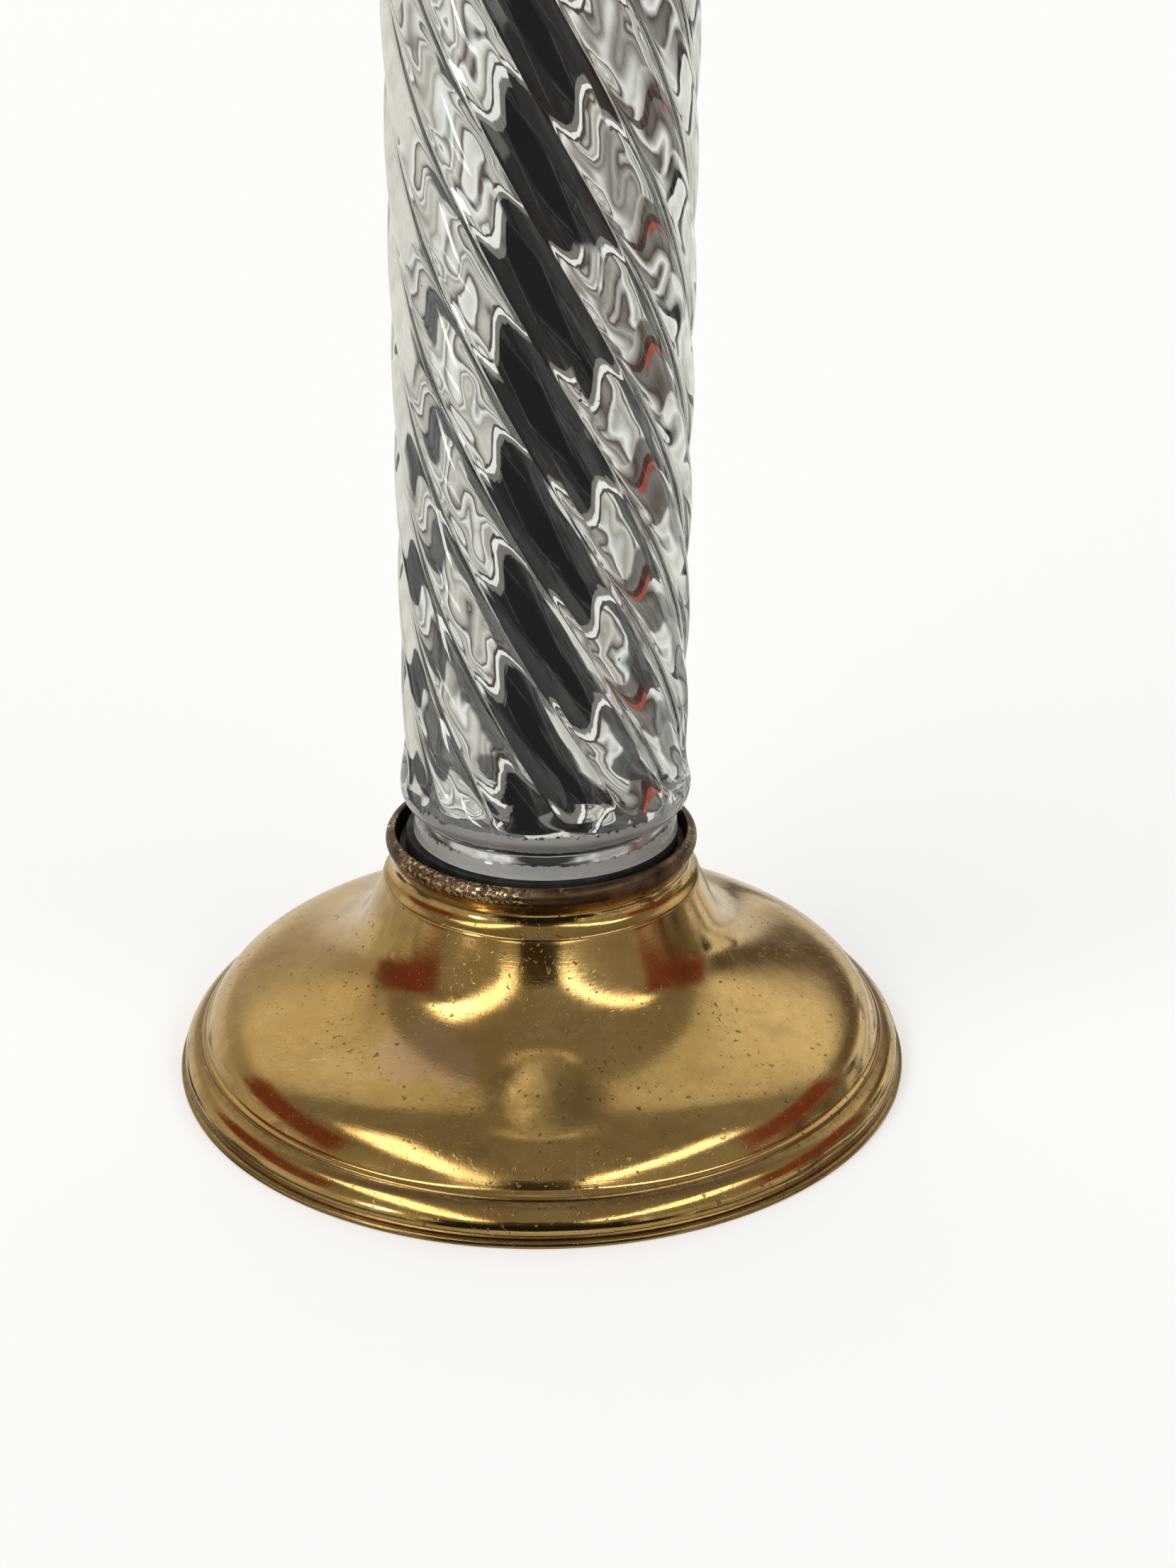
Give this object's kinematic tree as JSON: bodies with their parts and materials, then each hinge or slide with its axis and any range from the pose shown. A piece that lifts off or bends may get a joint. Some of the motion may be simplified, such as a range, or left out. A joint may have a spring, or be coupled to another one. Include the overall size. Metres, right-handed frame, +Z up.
{
  "type": "barber pole light",
  "caption": "Standing lamp: spun brass foot with a rolled collar, silvered glass column with twisted ribs, brass cap, and a milk-glass globe that lifts off over a screw lamp holder.",
  "frame": {"origin": "on the table, under the centre of the round foot", "axes": "+Z up along the column, -Y towards the viewer, +Y towards the back, where the cord inlet is"},
  "size_m": [0.2032, 0.2032, 0.6655],
  "materials": {
    "brass": "old lacquered brass, mirror-like but hazy, spotted, tarnished brown in its creases and on its rolled edge",
    "silvered_glass": "glass silvered on the inside, bright, with small dark flaws and a ragged edge to the silver",
    "milk_glass": "white opal glass, glossy",
    "frosted_glass": "inside-frosted lamp glass",
    "clear_glass": "clear",
    "cast_iron": "rough casting with a dark wash",
    "steel": "dull zinc",
    "rubber": "matt black, a little cracked",
    "felt": "green baize",
    "cork": "pressed cork",
    "porcelain": "off-white glaze",
    "fibre": "pressed fibre",
    "black_plastic": "moulded",
    "black_insulation": "wire insulation",
    "white_insulation": "wire insulation",
    "socket_brass": "thin pressed brass, satin",
    "bulb_brass": "thin rolled cap, satin",
    "screw_brass": "turned",
    "tungsten": "drawn wire"
  },
  "bodies": {
    "lamp": {"base_shell": "brass", "base_felt": "felt", "base_weight": "cast_iron", "base_washer": "steel", "base_nut": "steel", "spacer_sleeve": "steel", "cord_bushing": "black_plastic", "terminal_block": "porcelain", "block_screw": "screw_brass", "terminal_screw_1": "screw_brass", "terminal_screw_2": "screw_brass", "terminal_screw_3": "screw_brass", "terminal_screw_4": "screw_brass", "lead_wire_1": "black_insulation", "lead_wire_2": "white_insulation", "centre_rod": "steel", "lower_seat_plate": "steel", "lower_seat_ring": "rubber", "lower_centring_disc": "cork", "glass_column": "silvered_glass", "upper_seat_plate": "steel", "upper_seat_ring": "rubber", "upper_centring_disc": "cork", "top_cap": "brass", "globe_holder": "brass", "lock_washer": "steel", "top_nut": "steel", "socket_cap": "socket_brass", "socket_shell": "socket_brass", "socket_body": "porcelain", "socket_liner": "fibre", "screw_shell": "socket_brass", "centre_contact": "screw_brass", "socket_screw_1": "screw_brass", "socket_screw_2": "screw_brass"},
    "globe": {"globe": "milk_glass"},
    "bulb": {"bulb_contact": "screw_brass", "bulb_insulator": "black_plastic", "bulb_cap": "bulb_brass", "bulb_glass": "frosted_glass", "bulb_stem": "clear_glass", "bulb_filament": "tungsten"},
    "thumbscrew_1": {"thumbscrew_1": "brass"},
    "thumbscrew_2": {"thumbscrew_2": "brass"},
    "thumbscrew_3": {"thumbscrew_3": "brass"}
  },
  "joints": [
    {"name": "globe_lift", "type": "slide", "parent": "lamp", "child": "globe", "axis": [0, 0, 1], "range_m": [0, 0.12]},
    {"name": "bulb_unscrew", "type": "slide", "parent": "lamp", "child": "bulb", "axis": [0, 0, 1], "range_m": [0, 0.026]},
    {"name": "thumbscrew_1_turn_in", "type": "slide", "parent": "lamp", "child": "thumbscrew_1", "axis": [0, -1, 0], "range_m": [0, 0.0028]},
    {"name": "thumbscrew_2_turn_in", "type": "slide", "parent": "lamp", "child": "thumbscrew_2", "axis": [0.866, 0.5, 0], "range_m": [0, 0.0028]},
    {"name": "thumbscrew_3_turn_in", "type": "slide", "parent": "lamp", "child": "thumbscrew_3", "axis": [-0.866, 0.5, 0], "range_m": [0, 0.0028]}
  ]
}
